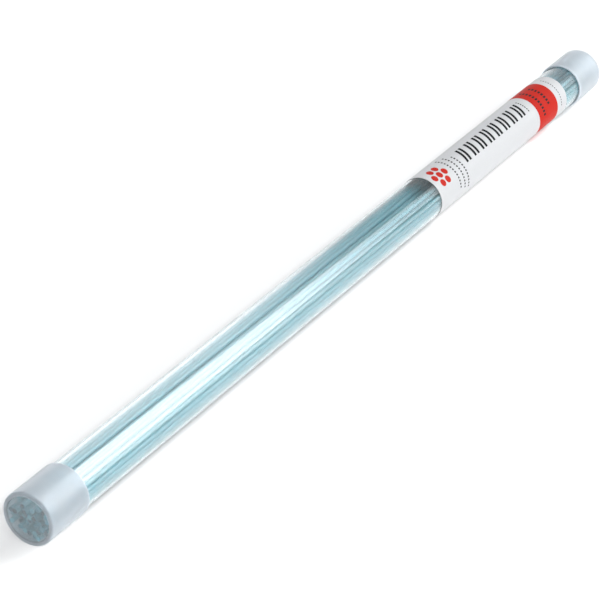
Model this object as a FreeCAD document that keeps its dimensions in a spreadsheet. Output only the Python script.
"""A clear storage tube of thin glass rods, with a push-on end cap at each end.

The tube lies along X on the rims of its two caps. The origin is midway between the caps' end
faces, at the height of the surface it lies on, with +Z up. The plain end is at -X, and the end
with the label is at +X. All sizes are in millimetres.
"""
import FreeCAD, Part
import math
import os
import random

import Sketcher

os.makedirs("parts", exist_ok=True)
doc = FreeCAD.newDocument("GlassRodTube")

# ---------------------------------------------------------------- driving dimensions
DIMENSIONS = [
    ("overall_length", 454.0, "outer face of one end cap to the other"),
    ("tube_outer_diameter", 20.0, "clear tube, outside"),
    ("tube_wall", 0.75, "clear tube, wall"),
    ("cap_outer_diameter", 21.8, "end cap, outside"),
    ("cap_length", 22.4, "end cap, outer face to mouth"),
    ("cap_disc_thickness", 1.0, "end cap, closed end"),
    ("cap_clearance", 0.05, "end cap bore to tube, on the radius"),
    ("cap_end_gap", 0.1, "end cap's closed end to the tube's cut end"),
    ("cap_edge_radius", 0.8, "end cap, rounded outer edge of the closed end"),
    ("cap_lip_radius", 0.3, "end cap, rounded outer edge of the mouth"),
    ("cap_lead_in", 0.25, "end cap, chamfer inside the mouth"),
    ("label_start", 291.0, "plain end's outer face to the label"),
    ("label_length", 127.0, "label, along the tube"),
    ("label_thickness", 0.1, "label film"),
    ("label_glue", 0.02, "adhesive between tube and label"),
    ("label_seam_angle", 3.0, "degrees of tube left bare where the label's edges meet"),
    ("label_seam_direction", 205.0, "degrees about X, from the front to the seam"),
    ("rod_count", 47, "glass rods in the tube"),
    ("rod_diameter", 2.0, "glass rod"),
    ("rod_length", 445.0, "glass rod"),
    ("rod_gap", 0.12, "room left between a rod and what lies beside it"),
    ("rod_end_gap", 0.15, "least room between a rod's end and a cap"),
]

sheet = doc.addObject("Spreadsheet::Sheet", "Dimensions")
for row, (alias, value, meaning) in enumerate(DIMENSIONS, start=1):
    sheet.set(f"A{row}", alias)
    sheet.set(f"B{row}", str(value))
    sheet.set(f"C{row}", meaning)
    sheet.setAlias(f"B{row}", alias)
doc.recompute()

AXIS_HEIGHT = "Dimensions.cap_outer_diameter / 2"
PLAIN_END = "-Dimensions.overall_length / 2"
LABEL_END = "Dimensions.overall_length / 2"
TUBE_BORE = "Dimensions.tube_outer_diameter - 2 * Dimensions.tube_wall"
TUBE_SETBACK = "(Dimensions.cap_disc_thickness + Dimensions.cap_end_gap)"

subparts = []


# ---------------------------------------------------------------- shared construction
def new_body(label, x_expression):
    """Start a body whose own X axis lies along the tube's centre line."""
    body = doc.addObject("PartDesign::Body", label)
    body.Label = label
    body.setExpression("Placement.Base.x", x_expression)
    body.setExpression("Placement.Base.z", AXIS_HEIGHT)
    subparts.append(body)
    return body


def new_sketch(body, name, plane_role):
    """Attach a sketch to one of the body's own origin planes."""
    plane = next(item for item in body.Origin.OriginFeatures if item.Role == plane_role)
    sketch = body.newObject("Sketcher::SketchObject", name)
    sketch.AttachmentSupport = [(plane, "")]
    sketch.MapMode = "FlatFace"
    return sketch


def add_circle(sketch, name, diameter_expression):
    """Draw a circle about the sketch's origin and drive its diameter from the sheet."""
    start_radius = 1.0
    circle = sketch.addGeometry(Part.Circle(FreeCAD.Vector(), FreeCAD.Vector(0, 0, 1), start_radius))
    sketch.addConstraint(Sketcher.Constraint("Coincident", circle, 3, -1, 1))
    size = sketch.addConstraint(Sketcher.Constraint("Diameter", circle, 2 * start_radius))
    sketch.renameConstraint(size, name)
    sketch.setExpression(f"Constraints.{name}", diameter_expression)


def round_edges(feature, x, radius):
    """Name the feature's circular edges of one radius at one place along X."""
    return [
        f"Edge{number}"
        for number, edge in enumerate(feature.Shape.Edges, start=1)
        if isinstance(edge.Curve, Part.Circle)
        and math.isclose(edge.Curve.Center.x, x, abs_tol=1e-3)
        and math.isclose(edge.Curve.Radius, radius, abs_tol=1e-3)
    ]


# ---------------------------------------------------------------- clear tube
def make_tube():
    """A plain length of thin-walled tube, cut square, ending just short of each cap's disc."""
    body = new_body("clear_tube", f"{PLAIN_END} + {TUBE_SETBACK}")
    profile = new_sketch(body, "tube_profile", "YZ_Plane")
    add_circle(profile, "outside", "Dimensions.tube_outer_diameter")
    add_circle(profile, "bore", TUBE_BORE)
    wall = body.newObject("PartDesign::Pad", "tube_wall")
    wall.Profile = profile
    wall.setExpression("Length", f"Dimensions.overall_length - 2 * {TUBE_SETBACK}")
    profile.Visibility = False


# ---------------------------------------------------------------- end caps
def make_cap(label, x_expression, turn_about_z):
    """A soft moulded cup: closed disc, thin skirt, rounded outer edges and a lead-in."""
    body = new_body(label, x_expression)
    body.Placement.Rotation = FreeCAD.Rotation(FreeCAD.Vector(0, 0, 1), turn_about_z)

    outline = new_sketch(body, f"{label}_outline", "YZ_Plane")
    add_circle(outline, "outside", "Dimensions.cap_outer_diameter")
    blank = body.newObject("PartDesign::Pad", f"{label}_blank")
    blank.Profile = outline
    blank.setExpression("Length", "Dimensions.cap_length")
    doc.recompute()
    blank_volume = blank.Shape.Volume

    bore = new_sketch(body, f"{label}_bore_circle", "YZ_Plane")
    add_circle(bore, "inside", "Dimensions.tube_outer_diameter + 2 * Dimensions.cap_clearance")
    bore.setExpression("AttachmentOffset.Base.z", "Dimensions.cap_disc_thickness")
    hollow = body.newObject("PartDesign::Pocket", f"{label}_hollow")
    hollow.Profile = bore
    hollow.Reversed = True
    hollow.setExpression("Length", "Dimensions.cap_length - Dimensions.cap_disc_thickness")
    doc.recompute()
    bore_radius = sheet.tube_outer_diameter / 2 + sheet.cap_clearance
    bore_depth = sheet.cap_length - sheet.cap_disc_thickness
    removed = blank_volume - hollow.Shape.Volume
    if not math.isclose(removed, math.pi * bore_radius**2 * bore_depth, rel_tol=1e-3):
        raise RuntimeError(f"{label}: the bore did not cut the whole depth")

    outer_radius = sheet.cap_outer_diameter / 2
    closed_edge = body.newObject("PartDesign::Fillet", f"{label}_closed_edge")
    closed_edge.Base = (hollow, round_edges(hollow, 0, outer_radius))
    closed_edge.setExpression("Radius", "Dimensions.cap_edge_radius")
    doc.recompute()

    lip = body.newObject("PartDesign::Fillet", f"{label}_lip")
    lip.Base = (closed_edge, round_edges(closed_edge, sheet.cap_length, outer_radius))
    lip.setExpression("Radius", "Dimensions.cap_lip_radius")
    doc.recompute()

    lead_in = body.newObject("PartDesign::Chamfer", f"{label}_lead_in")
    lead_in.Base = (lip, round_edges(lip, sheet.cap_length, bore_radius))
    lead_in.setExpression("Size", "Dimensions.cap_lead_in")
    body.Tip = lead_in


# ---------------------------------------------------------------- label
def make_label():
    """A film label wrapped round the tube, its two edges almost meeting at a seam."""
    body = new_body("wrap_label", f"{PLAIN_END} + Dimensions.label_start")
    seam = sheet.label_seam_direction + sheet.label_seam_angle / 2
    body.Placement.Rotation = FreeCAD.Rotation(FreeCAD.Vector(1, 0, 0), seam)

    section = new_sketch(body, "label_section", "XZ_Plane")
    corners = [(0, 1), (2, 1), (2, 2), (0, 2)]
    for start, end in zip(corners, corners[1:] + corners[:1]):
        section.addGeometry(Part.LineSegment(FreeCAD.Vector(*start, 0), FreeCAD.Vector(*end, 0)))
    for side in range(4):
        section.addConstraint(Sketcher.Constraint("Coincident", side, 2, (side + 1) % 4, 1))
    for side, direction in enumerate(("Horizontal", "Vertical", "Horizontal", "Vertical")):
        section.addConstraint(Sketcher.Constraint(direction, side))
    section.addConstraint(Sketcher.Constraint("PointOnObject", 0, 1, -2))
    inner_radius = "Dimensions.tube_outer_diameter / 2 + Dimensions.label_glue"
    sizes = [
        ("along", Sketcher.Constraint("DistanceX", 0, 1, 0, 2, 2.0), "Dimensions.label_length"),
        ("thickness", Sketcher.Constraint("DistanceY", 1, 1, 1, 2, 1.0), "Dimensions.label_thickness"),
        ("inner_radius", Sketcher.Constraint("DistanceY", -1, 1, 0, 1, 1.0), inner_radius),
    ]
    for name, constraint, expression in sizes:
        section.renameConstraint(section.addConstraint(constraint), name)
        section.setExpression(f"Constraints.{name}", expression)

    wrap = body.newObject("PartDesign::Revolution", "label_wrap")
    wrap.Profile = section
    wrap.ReferenceAxis = (section, ["H_Axis"])
    wrap.setExpression("Angle", "360 - Dimensions.label_seam_angle")
    section.Visibility = False


# ---------------------------------------------------------------- glass rods
def part_rods(lines, spacing):
    """Push apart every two rods that are too close, where they are closest; return that distance.

    A line holds (y, z) at the plain end and (y, z) at the label end, and each rod lies along one.
    """
    closest = math.inf
    for index, first in enumerate(lines):
        for second in lines[index + 1:]:
            start_y = second[0] - first[0]
            start_z = second[1] - first[1]
            change_y = second[2] - first[2] - start_y
            change_z = second[3] - first[3] - start_z
            spread = change_y**2 + change_z**2
            along = 0.0
            if spread > 0:
                along = -(start_y * change_y + start_z * change_z) / spread
                along = min(1.0, max(0.0, along))
            apart_y = start_y + along * change_y
            apart_z = start_z + along * change_z
            distance = math.hypot(apart_y, apart_z)
            closest = min(closest, distance)
            if distance >= spacing:
                continue
            lever = along**2 + (1 - along) ** 2
            share = (spacing - distance) / (2 * distance * lever)
            for line, push in ((first, -share), (second, share)):
                line[0] += push * apart_y * (1 - along)
                line[1] += push * apart_z * (1 - along)
                line[2] += push * apart_y * along
                line[3] += push * apart_z * along
    return closest


def keep_in_bore(lines, reach):
    """Pull any rod end that has left the bore back to its wall."""
    for line in lines:
        for end in (0, 2):
            distance = math.hypot(line[end], line[end + 1])
            if distance > reach:
                line[end] *= reach / distance
                line[end + 1] *= reach / distance


def settle_rods(count, spacing, reach):
    """Let a loose, slightly twisted bundle of rods drop, and bank up a little on both sides of the bore."""
    chance = random.Random(5)
    golden_angle = math.pi * (3 - math.sqrt(5))
    bundle_twist = 0.4
    jitter = 0.4
    lines = []
    for index in range(count):
        radius = reach * math.sqrt((index + 0.5) / count)
        line = []
        for angle in (index * golden_angle, index * golden_angle + bundle_twist):
            line.append(radius * math.cos(angle) + chance.uniform(-jitter, jitter))
            line.append(radius * math.sin(angle) + chance.uniform(-jitter, jitter))
        lines.append(line)

    drop_steps = 300
    first_drop = 0.08
    bank = 0.25
    for step in range(drop_steps):
        drop = first_drop * (1 - step / drop_steps)
        for line in lines:
            for end in (0, 2):
                line[end] += math.copysign(bank * drop, line[end])
                line[end + 1] -= drop
        part_rods(lines, spacing)
        keep_in_bore(lines, reach)

    spacing_tolerance = 0.01
    last_passes = 400
    for _ in range(last_passes):
        closest = part_rods(lines, spacing)
        keep_in_bore(lines, reach)
        if closest > spacing - spacing_tolerance:
            return lines
    raise RuntimeError("the rods do not fit in the tube")


def make_rods():
    """Straight glass rods, each lying on its own settled line, with its ends at random."""
    count = int(sheet.rod_count)
    spacing = sheet.rod_diameter + sheet.rod_gap
    bore_radius = sheet.tube_outer_diameter / 2 - sheet.tube_wall
    reach = bore_radius - sheet.rod_diameter / 2 - sheet.rod_gap
    space_length = sheet.overall_length - 2 * sheet.cap_disc_thickness
    space_start = -space_length / 2
    play = space_length - sheet.rod_length - 2 * sheet.rod_end_gap
    axis_height = sheet.cap_outer_diameter / 2
    chance = random.Random(11)
    for number, line in enumerate(settle_rods(count, spacing, reach), start=1):
        start = FreeCAD.Vector(space_start, line[0], axis_height + line[1])
        finish = FreeCAD.Vector(space_start + space_length, line[2], axis_height + line[3])
        direction = (finish - start).normalize()
        offset = sheet.rod_end_gap + play * chance.random() ** 2
        rod = doc.addObject("Part::Cylinder", f"glass_rod_{number:02d}")
        rod.Label = rod.Name
        rod.setExpression("Radius", "Dimensions.rod_diameter / 2")
        rod.setExpression("Height", "Dimensions.rod_length")
        rod.Placement = FreeCAD.Placement(
            start + direction * offset,
            FreeCAD.Rotation(FreeCAD.Vector(0, 0, 1), direction),
        )
        subparts.append(rod)


# ---------------------------------------------------------------- the whole object
make_tube()
make_cap("plain_end_cap", PLAIN_END, 0)
make_cap("label_end_cap", LABEL_END, 180)
make_label()
make_rods()
doc.recompute()

for item in doc.Objects:
    if "Invalid" in item.State or "Error" in item.State:
        raise RuntimeError(f"{item.Label} did not compute: {item.State}")
for item in subparts:
    if item.Shape.isNull() or not item.Shape.isValid():
        raise RuntimeError(f"{item.Label} has no valid shape")
for item in subparts:
    item.Shape.exportStep(f"parts/{item.Label}.step")
